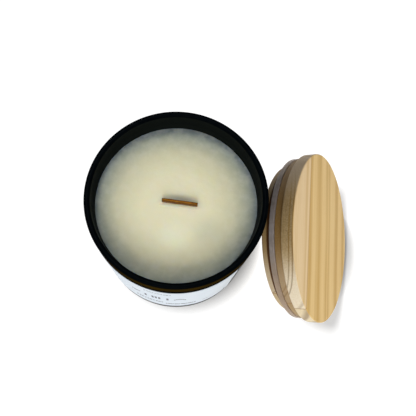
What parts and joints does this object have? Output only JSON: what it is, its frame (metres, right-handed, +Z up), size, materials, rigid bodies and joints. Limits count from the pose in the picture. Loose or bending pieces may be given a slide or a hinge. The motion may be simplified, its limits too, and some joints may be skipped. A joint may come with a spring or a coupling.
{
  "type": "container candle",
  "caption": "Wooden-wick candle in a straight dark glass tumbler, with a turned wooden lid and silicone seal leaning beside it.",
  "frame": {"origin": "centre of the tumbler's foot, on the surface it stands on", "axes": "+Z up along the tumbler's axis, -Y towards the labelled front, +X towards the side the lid leans on"},
  "size_m": [0.135, 0.0906, 0.083],
  "materials": {
    "dark_glass": "gloss",
    "wax": "satin",
    "wick_wood": "raw",
    "clip_steel": "satin",
    "pad_foam": "matte",
    "label_paper": "matte",
    "gold_wood": "sanded, unvarnished",
    "light_wood": "sanded, unvarnished",
    "silicone": "translucent satin"
  },
  "bodies": {
    "candle": {"tumbler": "dark_glass", "wax_fill": "wax", "wick": "wick_wood", "wick_clip": "clip_steel", "clip_pad": "pad_foam", "front_label": "label_paper", "base_label": "label_paper"},
    "lid": {"lid_stave_gold": "gold_wood", "lid_stave_light": "light_wood", "lid_gasket": "silicone"}
  },
  "joints": [
    {"name": "lid_lift", "type": "slide", "parent": "candle", "child": "lid", "axis": [0, 0, 1], "range_m": [0, 0.09]}
  ]
}
